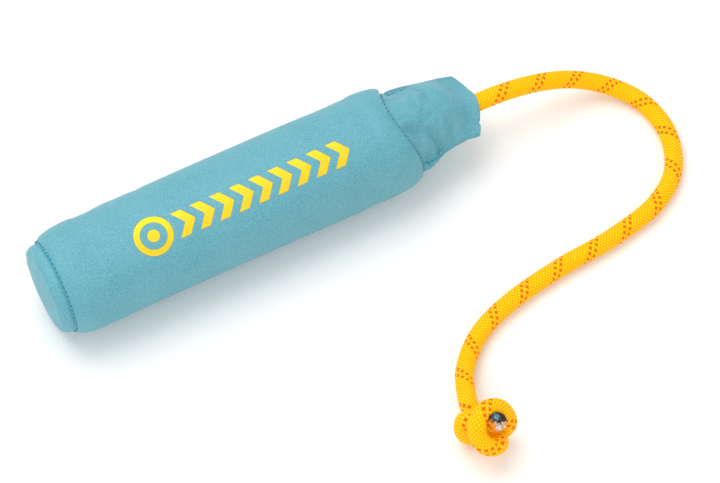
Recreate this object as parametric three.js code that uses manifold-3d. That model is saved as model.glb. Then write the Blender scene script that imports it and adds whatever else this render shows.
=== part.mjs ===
// Training bumper: a foam core sewn into a fabric tube, with a tapered fabric neck that holds a
// throwing rope. The rope is knotted inside the neck, and ends in a stopper knot at its free end.
// Millimetres. +X runs along the bumper towards the neck, +Z is up, and the bumper lies on z = 0.
// The origin is below the middle of the bumper, on the surface it lies on.

import * as THREE from 'three';
import { mergeVertices } from 'three/addons/utils/BufferGeometryUtils.js';
import Module from 'manifold-3d';

const wasm = await Module();
wasm.setup();

// ---------------------------------------------------------------- driving dimensions

const LENGTH = 260; // end panel to neck mouth
const BODY_R = 30; // outside of the fabric tube
const WALL = 1.1; // doubled fabric
const GAP = 0.3; // clearance between neighbouring pieces
const FLAT_HALF = 5; // half the width of the flat that the bumper rests on
const AXIS_Z = Math.sqrt(BODY_R ** 2 - FLAT_HALF ** 2);

const LEFT_END = -LENGTH / 2;
const END_SEAM_X = LEFT_END + 7.5; // where the end panel meets the tube
const END_SEAM_R = 24.2;
const CORNER_LENGTH = 17.5; // how far the tube's rounded end reaches along X
const PANEL_RIM_R = 21.6;
const PANEL_DOME = 3;
const FOAM_START = LEFT_END + 4.6;

const SHOULDER_X = 65; // where the tube starts to round over towards the neck
const CREASE_X = 77.5; // the rolled edge of the tube, on top
const CREASE_R = 26.2;
const CREASE_BOW = 7.5; // how much further along X the rolled edge sits at the sides
const BOW_START = 48; // the bow fades out from the crease back to here

const NECK_R = 24.7; // outside of the sleeve where it goes into the tube
const NECK_START = 68; // the sleeve's hidden end
const NECK_TOP_START = 81.5; // the top and bottom come down from here
const FLARE_START = 87.5; // past the rolled edge the sleeve spreads as it is pressed flat
const FLARE_END = 91.5;
const FLARE = 3.4;
const MOUTH_X = LENGTH / 2; // the furthest point of the mouth
const MOUTH_HALF_WIDTH = 20;
const MOUTH_HALF_HEIGHT = 6.8;
const MOUTH_ROUND = 5.7; // how far the mouth's edge draws back 20 mm to either side of its tip
const MOUTH_TIP_Y = 3;

const STITCH_SEAT = 1.2; // how far each ring of stitches sits past the edge it holds
const TUCK_LENGTH = 11;
const TUCK_ANGLE = 62; // degrees from the top to each row of tuck stitches
const TUCK_LIFT = 1.7; // how far above the steep edge of the sleeve the row lies
const MOUTH_STITCH_X = MOUTH_X - 12;
const MOUTH_STITCH_Y = 11.5;
const MOUTH_STITCH_LENGTH = 7;

const ROPE_R = 5;
const CURVE_SAMPLES = 24; // samples of arc length between neighbouring route points
const CUT_END_THICK = 1.2;
const KNOT_STRAND_R = 3.7; // the rope is squeezed where its strands press on each other
const THREAD_R = 0.45;
const SEAM_LAP_WIDTH = 8;
const SEAM_LAP_THICK = 0.9;
const SEAM_LAP_LENGTH = 162;
const SEAM_LAP_X = -98; // where the lap starts
const SEAM_LAP_ANGLE = -40; // degrees above the horizontal, on the +Y side
const SEAM_ROW_OFFSET = 2.6; // from the lap's middle to each row of stitches

// The free rope, from the neck's mouth round to the stopper knot. It comes down to the surface,
// turns back beside the bumper, and rises into the knot.
const ROPE_ROUTE = [
  [130.1, -2, 30], [144.5, -2.5, 30], [167.5, -3, 25], [190.5, -6, 16.5], [209.5, -15, 8.5],
  [221.5, -31, 5.5], [224, -54, 5.2], [214.5, -77, 5.2], [195.5, -91, 5.2], [162.5, -99, 5.2],
  [129.5, -102, 5.2], [97.5, -107.5, 5.2], [77.5, -114, 5.2], [67, -120, 5.5], [58, -128, 7],
  [50.5, -137.5, 10], [45.9, -147.1, 12.4],
];

// The overhand stopper knot: in under the left lobe, round the front of the tail, behind
// everything, round the left lobe, and out through the middle.
const KNOT_ROUTE = [
  [45.9, -147.1, 12.4], [42.7, -156.3, 14.7], [41.8, -164.6, 14.7], [43.2, -171.5, 13.8],
  [45.5, -177, 12.9], [46.4, -182.1, 14.2], [44.1, -184.8, 17], [39.5, -184.8, 19.3],
  [36.3, -182.5, 22.5], [35.4, -178.4, 26.2], [37.2, -174.7, 29.9], [41.8, -171, 31.3],
  [46.9, -169.7, 29.9], [51.9, -170.6, 27.1], [54.7, -173.3, 22.1], [55.1, -175.6, 16.5],
  [52.8, -175.2, 10.6], [49.2, -172.4, 6.4], [44.1, -170.6, 5], [39, -169.7, 5.5],
  [34.9, -168.3, 8.7], [33.5, -166.9, 14.2], [34.9, -166, 19.8], [38.1, -167.8, 22.5],
  [41.6, -171.6, 22.6], [44.7, -174.4, 24.2], [46.4, -176.6, 27.2], [46.7, -178.6, 30.5],
];

// The rope inside the neck, from the anchor knot to the mouth.
const ANCHOR = [103, 1, 24.08];
const ANCHOR_TURN = -83.7; // degrees about Z, so that the anchor knot's rope leaves along +X
const TAIL_ROUTE = [[103.4, 1, 24.08], [106.5, 1, 24.08], [118.5, -1.5, 29.7], [129.7, -2, 30]];

const COLOURS = {
  fabric: 0x7ab8c6,
  thread: 0x0f8ca5,
  rope: 0xffd21e,
  foam: 0xe8e6df,
  core: 0x4a2f28,
};

// ---------------------------------------------------------------- helpers

const smooth = (t) => {
  const u = Math.min(Math.max(t, 0), 1);
  return u * u * (3 - 2 * u);
};

const vectors = (rows) => rows.map((row) => new THREE.Vector3(...row));

// A profile of [x, radius] points turned round the X axis. The list runs anticlockwise when X is
// up and the radius points right: along the outside towards +X, then back along the inside.
function turned(profile, segments) {
  const points = profile.map(([x, r]) => new THREE.Vector2(r, x));
  return new THREE.LatheGeometry(points, segments).rotateZ(-Math.PI / 2);
}

// Points along a quarter ellipse from (x0, r0), where it runs along X, to (x1, r1).
function roundOver(x0, r0, x1, r1, steps) {
  const points = [];
  for (let i = 0; i <= steps; i += 1) {
    const a = (i / steps) * (Math.PI / 2);
    points.push([x0 + (x1 - x0) * Math.sin(a), r1 + (r0 - r1) * Math.cos(a)]);
  }
  return points;
}

// Moves every vertex of a geometry. The rule is given x, the radius and the angle from the top.
function warp(geometry, rule) {
  const position = geometry.getAttribute('position');
  for (let i = 0; i < position.count; i += 1) {
    const y = position.getY(i);
    const z = position.getZ(i);
    const moved = rule(position.getX(i), Math.hypot(y, z), Math.atan2(y, z));
    position.setXYZ(i, moved[0], moved[1], moved[2]);
  }
  geometry.computeVertexNormals();
  return geometry;
}

// A closed ring of thread round the X axis.
function threadRing(x, r, segments) {
  const sides = 6;
  const profile = [];
  for (let i = 0; i <= sides; i += 1) {
    const a = (i / sides) * 2 * Math.PI;
    profile.push([x + THREAD_R * Math.sin(a), r + THREAD_R * Math.cos(a)]);
  }
  return turned(profile, segments);
}

// The stretch of a smooth curve between two distances along it.
class Stretch extends THREE.Curve {
  constructor(whole, from, to) {
    super();
    this.whole = whole;
    this.from = from / whole.getLength();
    this.to = to / whole.getLength();
  }

  getPoint(t, target) {
    return this.whole.getPointAt(this.from + (this.to - this.from) * t, target);
  }
}

function smoothCurve(points) {
  const curve = new THREE.CatmullRomCurve3(points);
  curve.arcLengthDivisions = (points.length - 1) * CURVE_SAMPLES;
  return curve;
}

// The distance along a smooth curve to one of the points it was made from.
function distanceTo(curve, index) {
  return curve.getLengths()[index * CURVE_SAMPLES];
}

// A round tube along a curve.
function tube(curve, radius, steps, sides) {
  const section = new THREE.Shape();
  section.absarc(0, 0, radius, 0, 2 * Math.PI);
  return new THREE.ExtrudeGeometry(section, {
    steps,
    curveSegments: sides / 2,
    bevelEnabled: false,
    extrudePath: curve,
  });
}

function toSolid(geometry) {
  const bare = geometry.clone();
  bare.deleteAttribute('normal');
  bare.deleteAttribute('uv');
  const welded = mergeVertices(bare, 1e-4);
  return new wasm.Manifold(new wasm.Mesh({
    numProp: 3,
    vertProperties: new Float32Array(welded.getAttribute('position').array),
    triVerts: new Uint32Array(welded.index.array),
  }));
}

function toGeometry(solid) {
  const mesh = solid.getMesh();
  const geometry = new THREE.BufferGeometry();
  geometry.setAttribute('position', new THREE.BufferAttribute(mesh.vertProperties, 3));
  geometry.setIndex(new THREE.BufferAttribute(mesh.triVerts, 1));
  geometry.computeVertexNormals();
  return geometry;
}

// How far the rolled edge bows along +X at an angle from the top, fading back along the tube.
function bow(x, angle) {
  return CREASE_BOW * Math.sin(angle) ** 2 * smooth((x - BOW_START) / (CREASE_X - BOW_START));
}

// How far along its taper the sleeve is at x, from 0 to 1.
function taper(x, start) {
  return Math.min(Math.max((x - start) / (MOUTH_X - start), 0), 1);
}

function neckHalfWidth(x) {
  const flare = FLARE * smooth((x - FLARE_START) / (FLARE_END - FLARE_START));
  const narrowing = Math.sin((taper(x, FLARE_START) * Math.PI) / 2) ** 1.3;
  return NECK_R + flare - (NECK_R + FLARE - MOUTH_HALF_WIDTH) * narrowing;
}

function neckHalfHeight(x) {
  return NECK_R + (MOUTH_HALF_HEIGHT - NECK_R) * taper(x, NECK_TOP_START) ** 1.35;
}

// A point on the sleeve, a depth below its outside, at an angle from the top. The section is
// round inside the tube and a pressed lens with thin sides past the flare.
function onNeck(x, depth, angle) {
  const pressed = smooth((x - NECK_TOP_START) / (FLARE_END - NECK_TOP_START));
  const y = (neckHalfWidth(x) - depth) * Math.sin(angle);
  const z = (neckHalfHeight(x) - depth) * Math.cos(angle) * Math.abs(Math.cos(angle)) ** pressed;
  const back = MOUTH_ROUND * taper(x, FLARE_START) * ((y - MOUTH_TIP_Y) / 20) ** 2;
  return [x - back, y, z];
}

// ---------------------------------------------------------------- fabric and foam

function foamCore() {
  const r = BODY_R - WALL - GAP;
  const profile = [
    [FOAM_START, 0],
    [FOAM_START + 0.8, PANEL_RIM_R - 3],
    ...roundOver(END_SEAM_X + CORNER_LENGTH, r, END_SEAM_X, END_SEAM_R - 3.4, 5).reverse(),
    ...roundOver(SHOULDER_X - 7, r, SHOULDER_X, r - 7, 4),
    [SHOULDER_X, 0],
  ];
  return turned(profile, 40);
}

function coverTube() {
  const cornerX = END_SEAM_X + CORNER_LENGTH;
  const inside = BODY_R - WALL;
  const profile = [
    ...roundOver(cornerX, BODY_R, END_SEAM_X, END_SEAM_R, 6).reverse(),
    ...roundOver(SHOULDER_X, BODY_R, CREASE_X, CREASE_R, 6),
    [CREASE_X, CREASE_R - WALL],
    ...roundOver(SHOULDER_X, inside, CREASE_X - WALL, CREASE_R - WALL, 4).reverse(),
    ...roundOver(cornerX, inside, END_SEAM_X, END_SEAM_R - WALL, 5),
    [END_SEAM_X, END_SEAM_R],
  ];
  const shell = warp(turned(profile, 48), (x, r, angle) => [
    x + bow(x, angle), r * Math.sin(angle), r * Math.cos(angle) + AXIS_Z,
  ]);
  const floor = new THREE.BoxGeometry(LENGTH, 4 * BODY_R, BODY_R);
  floor.translate(0, 0, -BODY_R / 2);
  return toGeometry(toSolid(shell).subtract(toSolid(floor)));
}

function endPanel() {
  const rimX = LEFT_END + PANEL_DOME;
  const edgeX = END_SEAM_X - GAP;
  const profile = [
    [LEFT_END, 0],
    [LEFT_END + 0.3, PANEL_RIM_R * 0.5],
    [rimX, PANEL_RIM_R],
    ...roundOver(edgeX - 1.5, END_SEAM_R, rimX, PANEL_RIM_R, 4).reverse().slice(1),
    [edgeX, END_SEAM_R - 0.2],
    [edgeX, END_SEAM_R - WALL],
    [rimX + WALL, PANEL_RIM_R - WALL],
    [LEFT_END + 0.3 + WALL, PANEL_RIM_R * 0.5],
    [LEFT_END + WALL, 0],
  ];
  return turned(profile, 48);
}

function neckSleeve() {
  const steps = 28;
  const along = (i, end) => NECK_START + ((end - NECK_START) * i) / steps;
  const profile = [];
  for (let i = 0; i <= steps; i += 1) {
    profile.push([along(i, MOUTH_X - WALL / 2), NECK_R]);
  }
  profile.push([MOUTH_X, NECK_R - WALL / 2]);
  for (let i = steps; i >= 0; i -= 1) {
    profile.push([along(i, MOUTH_X - WALL / 2), NECK_R - WALL]);
  }
  profile.push([NECK_START, NECK_R]);
  return warp(turned(profile, 40), (x, r, angle) => onNeck(x, NECK_R - r, angle));
}

// The lapped seam that closes the tube, a curved strip on its far side.
function seamLap() {
  const half = SEAM_LAP_WIDTH / 2 / BODY_R;
  const inner = BODY_R + GAP;
  const section = new THREE.Shape();
  section.absarc(0, 0, inner + SEAM_LAP_THICK, -half, half, false);
  section.absarc(0, 0, inner, half, -half, true);
  return new THREE.ExtrudeGeometry(section, {
    depth: SEAM_LAP_LENGTH, steps: 1, curveSegments: 5, bevelEnabled: false,
  });
}

// ---------------------------------------------------------------- thread

function endSeamStitching() {
  const x = END_SEAM_X + STITCH_SEAT;
  const rise = Math.sqrt(1 - (1 - STITCH_SEAT / CORNER_LENGTH) ** 2);
  const surface = END_SEAM_R + (BODY_R - END_SEAM_R) * rise;
  return threadRing(x, surface + THREAD_R + GAP, 48);
}

function shoulderStitching() {
  const ring = threadRing(CREASE_X + STITCH_SEAT, NECK_R + GAP + THREAD_R, 48);
  return warp(ring, (x, r, angle) => [
    x + CREASE_BOW * Math.sin(angle) ** 2, r * Math.sin(angle), r * Math.cos(angle),
  ]);
}

// A row of stitches along the neck, just inside its side edge.
function tuckStitching(side) {
  const start = FLARE_START + 1;
  const angle = side * THREE.MathUtils.degToRad(TUCK_ANGLE);
  const steps = 4;
  const row = [];
  for (let i = 0; i <= steps; i += 1) {
    const [x, y, z] = onNeck(start + (TUCK_LENGTH * i) / steps, 0, angle);
    row.push([x, y, z + TUCK_LIFT]);
  }
  return tube(smoothCurve(vectors(row)), THREAD_R, 6, 6);
}

function mouthStitching() {
  const bar = new THREE.CylinderGeometry(THREAD_R, THREAD_R, MOUTH_STITCH_LENGTH, 8);
  return bar.rotateX(Math.PI / 2);
}

// ---------------------------------------------------------------- rope

function knotTube(curve) {
  return tube(curve, KNOT_STRAND_R, 40, 8);
}

// The cut and melted end of the rope, a low disc.
function ropeCutEnd() {
  return new THREE.CylinderGeometry(KNOT_STRAND_R, KNOT_STRAND_R, CUT_END_THICK, 12);
}

// ---------------------------------------------------------------- assembly

const bumper = new THREE.Group();

function add(name, geometry, colour, parent = bumper) {
  const material = new THREE.MeshStandardMaterial({ color: colour, roughness: 0.85, metalness: 0 });
  const mesh = new THREE.Mesh(geometry, material);
  mesh.name = name;
  parent.add(mesh);
  return mesh;
}

add('cover_tube', coverTube(), COLOURS.fabric);

const axis = new THREE.Group();
axis.position.z = AXIS_Z;
bumper.add(axis);
add('foam_core', foamCore(), COLOURS.foam, axis);
add('end_panel', endPanel(), COLOURS.fabric, axis);
add('neck_sleeve', neckSleeve(), COLOURS.fabric, axis);
add('end_seam_stitching', endSeamStitching(), COLOURS.thread, axis);
add('shoulder_stitching', shoulderStitching(), COLOURS.thread, axis);

for (const [name, side] of [['left', 1], ['right', -1]]) {
  add(`tuck_stitching_${name}`, tuckStitching(side), COLOURS.thread, axis);
  const bar = add(`mouth_stitching_${name}`, mouthStitching(), COLOURS.thread, axis);
  bar.position.set(MOUTH_STITCH_X, side * MOUTH_STITCH_Y, 0);
}

// The lap and its two lines of stitches lie along X, turned round to the far side of the tube.
const backSeam = new THREE.Group();
backSeam.position.set(SEAM_LAP_X, 0, AXIS_Z);
backSeam.rotation.x = THREE.MathUtils.degToRad(SEAM_LAP_ANGLE);
bumper.add(backSeam);
const lap = add('back_seam_lap', seamLap(), COLOURS.fabric, backSeam);
lap.rotation.set(Math.PI / 2, Math.PI / 2, 0);
for (const [name, side] of [['upper', 1], ['lower', -1]]) {
  const r = BODY_R + SEAM_LAP_THICK + 2 * GAP + THREAD_R;
  const angle = (side * SEAM_ROW_OFFSET) / BODY_R;
  const thread = new THREE.CylinderGeometry(THREAD_R, THREAD_R, SEAM_LAP_LENGTH, 6);
  const row = add(`back_seam_stitching_${name}`, thread, COLOURS.thread, backSeam);
  row.rotation.z = Math.PI / 2;
  row.position.set(SEAM_LAP_LENGTH / 2, r * Math.cos(angle), r * Math.sin(angle));
}

// The free rope and its stopper knot are two stretches of one curve.
const ropeCurve = smoothCurve(vectors([...ROPE_ROUTE, ...KNOT_ROUTE.slice(1)]));
const knotStart = distanceTo(ropeCurve, ROPE_ROUTE.length - 1);
const freeRope = new Stretch(ropeCurve, 0, knotStart);
const knotRope = new Stretch(ropeCurve, knotStart + GAP, ropeCurve.getLength());
add('throw_rope', tube(freeRope, ROPE_R, 22, 10), COLOURS.rope);
add('stopper_knot', knotTube(knotRope), COLOURS.rope);

// The cut end faces along the tail.
const cutEnd = add('rope_cut_end', ropeCutEnd(), COLOURS.core);
const [beforeEnd, ropeEnd] = vectors(KNOT_ROUTE.slice(-2));
const facing = ropeEnd.clone().sub(beforeEnd).normalize();
cutEnd.position.copy(ropeEnd).addScaledVector(facing, GAP + CUT_END_THICK / 2);
cutEnd.quaternion.setFromUnitVectors(new THREE.Vector3(0, 1, 0), facing);

// The anchor knot inside the neck is the same knot, turned so that its rope leaves towards +X.
const anchorRoute = vectors(KNOT_ROUTE.slice(1));
const anchorStart = anchorRoute[0].clone();
const upright = new THREE.Vector3(0, 0, 1);
for (const point of anchorRoute) {
  point.sub(anchorStart).applyAxisAngle(upright, THREE.MathUtils.degToRad(ANCHOR_TURN));
}
const anchor = add('anchor_knot', knotTube(smoothCurve(anchorRoute)), COLOURS.rope);
anchor.position.set(...ANCHOR);
add('rope_tail', tube(smoothCurve(vectors(TAIL_ROUTE)), ROPE_R, 8, 10), COLOURS.rope);

export default bumper;
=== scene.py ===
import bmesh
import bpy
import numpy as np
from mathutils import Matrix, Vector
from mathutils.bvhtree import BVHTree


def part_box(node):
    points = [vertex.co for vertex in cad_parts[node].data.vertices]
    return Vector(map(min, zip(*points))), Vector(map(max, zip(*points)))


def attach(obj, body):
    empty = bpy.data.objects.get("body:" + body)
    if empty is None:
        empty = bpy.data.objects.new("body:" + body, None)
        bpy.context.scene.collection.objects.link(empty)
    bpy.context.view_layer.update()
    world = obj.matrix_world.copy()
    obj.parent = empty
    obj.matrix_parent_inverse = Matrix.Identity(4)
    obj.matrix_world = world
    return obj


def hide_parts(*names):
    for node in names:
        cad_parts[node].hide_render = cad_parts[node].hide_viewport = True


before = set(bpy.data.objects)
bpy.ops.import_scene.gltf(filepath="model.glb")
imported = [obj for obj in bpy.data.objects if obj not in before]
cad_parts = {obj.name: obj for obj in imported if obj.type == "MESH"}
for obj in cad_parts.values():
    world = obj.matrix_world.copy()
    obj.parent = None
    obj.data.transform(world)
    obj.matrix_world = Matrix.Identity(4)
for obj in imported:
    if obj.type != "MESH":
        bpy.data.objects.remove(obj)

# %% [markdown]
# # A dog's training bumper, from its frame to a finished picture
# A bumper is a foam log in a sewn fabric tube. A tapered neck holds a braided throwing rope, and
# the rope ends in a stopper knot. The frame above is the engineering model: it fixes every size
# and place, and it is never moved. This lesson puts the soft, woven surfaces over it.
#
# Every piece below is a surface worked out with numpy: a function of two parameters, computed on
# a whole grid at once. Modelling by hand would do as well, but a formula can be changed in one
# place and always gives the same result.

MM = 0.001
TURN = 2 * np.pi
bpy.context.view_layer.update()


def node_box(node):
    """A CAD node's lowest and highest corner, in millimetres."""
    low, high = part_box(node)
    return np.array(low) / MM, np.array(high) / MM


tube_low, tube_high = node_box("cover_tube")
panel_low, panel_high = node_box("end_panel")
sleeve_low, sleeve_high = node_box("neck_sleeve")
BODY_R = (tube_high[1] - tube_low[1]) / 2
AXIS_Z = tube_high[2] - BODY_R
END_SEAM_X = tube_low[0]
LEFT_END = panel_low[0]
PANEL_R = (panel_high[1] - panel_low[1]) / 2
MOUTH_X = sleeve_high[0]
print(f"body radius {BODY_R:.1f} mm, axis {AXIS_Z:.2f} mm up, end seam at x {END_SEAM_X:.1f} mm")

# %% [markdown]
# ## The camera
# The camera looks down on the bumper from in front and to its left. A long lens from well away
# keeps the sides of the tube parallel, as a product picture does. Its axes come from two angles,
# so that nothing has to be turned by eye.

# %% The camera
CAMERA_AZIMUTH = np.radians(-27.56)
CAMERA_ELEVATION = np.radians(60)
CAMERA_TARGET = np.array([33.7, -50.3, 30.0])
CAMERA_DISTANCE = 1602.0

scene = bpy.context.scene
camera = bpy.data.objects.new("camera", bpy.data.cameras.new("camera"))
scene.collection.objects.link(camera)
camera.data.lens = 150
camera.data.sensor_width = 36
camera.data.dof.use_dof = False
towards_camera = np.array([
    np.sin(CAMERA_AZIMUTH) * np.cos(CAMERA_ELEVATION),
    -np.cos(CAMERA_AZIMUTH) * np.cos(CAMERA_ELEVATION),
    np.sin(CAMERA_ELEVATION),
])
camera.location = (CAMERA_TARGET + CAMERA_DISTANCE * towards_camera) * MM
camera.rotation_euler = Vector(towards_camera).to_track_quat("Z", "Y").to_euler()
scene.camera = camera
print("camera at", [round(value, 3) for value in camera.location])

# %% [markdown]
# ## Floor and light
# The floor is plain white. A large soft light overhead and a little behind gives the fabric its
# gentle shading, a weaker one in front reaches the end panel, and a bright world fills the
# shadows. The Standard view keeps the colours that the materials are given, where a filmic view
# would grey the strong yellow of the rope.

# %% Floor, lights and world
FLOOR_SIZE = 8.0
FLOOR_WHITE = (0.93, 0.93, 0.93)
OVERHEAD_PLACE = (-0.2, 0.55, 1.5)
OVERHEAD_SIZE = 1.3
OVERHEAD_WATTS = 14.0
FILL_PLACE = (-0.9, -1.2, 1.1)
FILL_SIZE = 1.0
FILL_WATTS = 6.0
WORLD_STRENGTH = 0.80


def plain_material(name, colour, roughness):
    """One colour and one roughness, for what isn't part of the object."""
    material = bpy.data.materials.new(name)
    material.use_nodes = True
    shader = material.node_tree.nodes["Principled BSDF"]
    shader.inputs["Base Color"].default_value = (*colour, 1)
    shader.inputs["Roughness"].default_value = roughness
    shader.inputs["Specular IOR Level"].default_value = 0.1
    return material


def add_light(name, place, size, power):
    """A square soft light at a place in metres, turned towards the middle of the floor."""
    light = bpy.data.lights.new(name, "AREA")
    light.size = size
    light.energy = power
    lamp = bpy.data.objects.new(name, light)
    lamp.location = place
    lamp.rotation_euler = Vector(place).to_track_quat("Z", "Y").to_euler()
    scene.collection.objects.link(lamp)


half = FLOOR_SIZE / 2
floor_mesh = bpy.data.meshes.new("floor")
floor_mesh.from_pydata([(-half, -half, 0), (half, -half, 0), (half, half, 0), (-half, half, 0)],
                       [], [(0, 1, 2, 3)])
floor = bpy.data.objects.new("floor", floor_mesh)
floor.data.materials.append(plain_material("floor", FLOOR_WHITE, 0.9))
scene.collection.objects.link(floor)

add_light("overhead", OVERHEAD_PLACE, OVERHEAD_SIZE, OVERHEAD_WATTS)
add_light("front_fill", FILL_PLACE, FILL_SIZE, FILL_WATTS)
world = bpy.data.worlds.new("studio")
world.use_nodes = True
backdrop = world.node_tree.nodes["Background"]
backdrop.inputs["Color"].default_value = (1, 1, 1, 1)
backdrop.inputs["Strength"].default_value = WORLD_STRENGTH
scene.world = world
scene.view_settings.view_transform = "Standard"
scene.view_settings.look = "None"
print("floor", FLOOR_SIZE, "m, three sources of light")

# %% [markdown]
# ## From a grid of points to a mesh
# Every surface below is a grid of points: rows one way, columns the other. One helper joins the
# neighbours with four-sided faces. The columns wrap round, as on a tube. The rows can too, and an
# end row can be gathered into one pole, as on a dome. The grid's own coordinates go into the UV map,
# in the units that the material needs.

# %% The grid helper
def add_object(name, mesh):
    """Puts a mesh into the scene as a smooth-shaded object at the origin."""
    piece = bpy.data.objects.new(name, mesh)
    scene.collection.objects.link(piece)
    mesh.polygons.foreach_set("use_smooth", np.ones(len(mesh.polygons), dtype=bool))
    return piece


def grid_corners(rows, columns, wrap_rows=False):
    """The row and the column of each face's four corners, which count on past a wrap."""
    row = np.arange(rows if wrap_rows else rows - 1)[:, None, None]
    column = np.arange(columns)[None, :, None]
    corner_row, corner_column = np.broadcast_arrays(row + [0, 0, 1, 1], column + [0, 1, 1, 0])
    return corner_row.reshape(-1, 4), corner_column.reshape(-1, 4)


def surface(name, points, uv=None, period=0.0, wrap_rows=False, poles=(None, None), flip=False):
    """A mesh over a grid of points in millimetres, of shape (rows, columns, 3).

    The columns always wrap round. A pole is a point that closes the first or the last row with
    triangles. uv has two numbers for each point, and period is how much the first of them grows
    in one turn, so that a pattern doesn't fold back on itself at the wrap. flip turns every
    face over.
    """
    rows, columns = points.shape[:2]
    vertices = points.reshape(-1, 3)
    corner_row, corner_column = grid_corners(rows, columns, wrap_rows)
    quads = (corner_row % rows) * columns + corner_column % columns
    order = [3, 2, 1, 0] if flip else [0, 1, 2, 3]
    faces = quads[:, order].tolist()
    if uv is not None:
        corner_uv = uv[corner_row % rows, corner_column % columns].astype(float)
        corner_uv[..., 0] += period * (corner_column // columns)
        loop_uv = [corner_uv[:, order].reshape(-1, 2)]
    ring = np.arange(columns)
    following = np.roll(ring, -1)
    for end, pole in enumerate(poles):
        if pole is None:
            continue
        hub = np.full(columns, len(vertices))
        vertices = np.vstack([vertices, pole])
        offset = end * (rows - 1) * columns
        sides = [ring + offset, following + offset]
        if (end == 0) != flip:
            sides.reverse()
        faces += np.stack([hub, *sides], axis=1).tolist()
        if uv is not None:
            edge_uv = uv[end * (rows - 1)]
            fan_uv = [edge_uv, edge_uv, np.roll(edge_uv, -1, axis=0)]
            loop_uv.append(np.stack(fan_uv, axis=1).reshape(-1, 2))
    mesh = bpy.data.meshes.new(name)
    mesh.from_pydata((vertices * MM).tolist(), [], faces)
    if uv is not None:
        mesh.uv_layers.new(name="weave").data.foreach_set("uv", np.concatenate(loop_uv).ravel())
    return add_object(name, mesh)


def smooth(t):
    """An S-shaped step from 0 to 1 as t goes from 0 to 1."""
    u = np.clip(t, 0, 1)
    return u * u * (3 - 2 * u)


def bump(t):
    """A soft bell: 1 at t = 0 and almost nothing past t = 2."""
    return np.exp(-t * t)


# %% [markdown]
# ## The rope's path
# The rope leaves the neck's mouth, comes down to the surface, turns back beside the bumper and
# rises into its stopper knot. Its points are chosen. One smooth curve goes through them
# all, so that the knot follows on from the rope without a kink. A spline object could carry a
# bevel, but here each strand of the braid needs a place of its own, so the curve is turned into
# rings with a frame of directions that doesn't twist.

# %% The route and its smooth curve
ROPE_ROUTE = [
    (130.1, -2, 30), (144.5, -2.5, 30), (167.5, -3, 25), (190.5, -6, 16.5), (209.5, -15, 8.5),
    (221.5, -31, 5.5), (224, -54, 5.2), (214.5, -77, 5.2), (195.5, -91, 5.2), (162.5, -99, 5.2),
    (129.5, -102, 5.2), (97.5, -107.5, 5.2), (77.5, -114, 5.2), (67, -120, 5.5), (58, -128, 7),
    (50.5, -137.5, 10), (45.9, -147.1, 12.4),
]
KNOT_ROUTE = [
    (45.9, -147.1, 12.4), (42.7, -156.3, 14.7), (41.8, -164.6, 14.7), (43.2, -171.5, 13.8),
    (45.5, -177, 12.9), (46.4, -182.1, 14.2), (44.1, -184.8, 17), (39.5, -184.8, 19.3),
    (36.3, -182.5, 22.5), (35.4, -178.4, 26.2), (37.2, -174.7, 29.9), (41.8, -171, 31.3),
    (46.9, -169.7, 29.9), (51.9, -170.6, 27.1), (54.7, -173.3, 22.1), (55.1, -175.6, 16.5),
    (52.8, -175.2, 10.6), (49.2, -172.4, 6.4), (44.1, -170.6, 5), (39, -169.7, 5.5),
    (34.9, -168.3, 8.7), (33.5, -166.9, 14.2), (34.9, -166, 19.8), (38.1, -167.8, 22.5),
    (41.6, -171.6, 22.6), (44.7, -174.4, 24.2), (46.4, -176.6, 27.2), (46.7, -178.6, 30.5),
]
TAIL_ROUTE = [(103.4, 1, 24.08), (106.5, 1, 24.08), (118.5, -1.5, 29.7), (129.7, -2, 30)]
ROPE_R = 5.0
CURVE_SAMPLES = 60


def smooth_curve(route):
    """Many points of the centripetal Catmull-Rom curve through a route.

    Each span is a cubic whose end slopes come from the points on both sides, with each gap
    weighed by the square root of its length, which keeps a curve from overshooting in tight
    turns.
    """
    p = np.array(route, dtype=float)
    p = np.vstack([2 * p[0] - p[1], p, 2 * p[-1] - p[-2]])
    gap = np.sqrt(np.linalg.norm(np.diff(p, axis=0), axis=1))[:, None]
    before, here, there, after = p[:-3], p[1:-2], p[2:-1], p[3:]
    g0, g1, g2 = gap[:-2], gap[1:-1], gap[2:]
    leaving = ((here - before) / g0 - (there - before) / (g0 + g1) + (there - here) / g1) * g1
    arriving = ((there - here) / g1 - (after - here) / (g1 + g2) + (after - there) / g2) * g1
    t = (np.arange(CURVE_SAMPLES) / CURVE_SAMPLES)[None, :, None]
    spans = here[:, None] * (2 * t ** 3 - 3 * t ** 2 + 1)
    spans += leaving[:, None] * (t ** 3 - 2 * t ** 2 + t)
    spans += there[:, None] * (3 * t ** 2 - 2 * t ** 3)
    spans += arriving[:, None] * (t ** 3 - t ** 2)
    return np.vstack([spans.reshape(-1, 3), p[-2]])


def curve_distance(points):
    """The distance along a curve at each of its points."""
    return np.concatenate([[0], np.cumsum(np.linalg.norm(np.diff(points, axis=0), axis=1))])


def even_points(points, start, end, step):
    """Points spaced evenly along a curve between two distances, and those distances."""
    along = curve_distance(points)
    distance = np.linspace(start, end, int(round((end - start) / step)) + 1)
    return np.stack([np.interp(distance, along, points[:, i]) for i in range(3)], axis=1), distance


def rope_frames(line):
    """Directions along, across and sideways at each point, carried on without twisting.

    Each pair of across directions is the one before it, with the part that points along the
    curve taken away.
    """
    along = np.gradient(line, axis=0)
    along /= np.linalg.norm(along, axis=1)[:, None]
    across = np.empty_like(line)
    current = np.array([0.0, 0.0, 1.0])
    for i, direction in enumerate(along):
        current = current - direction * (current @ direction)
        current /= np.linalg.norm(current)
        across[i] = current
    return along, across, np.cross(across, along)


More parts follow.
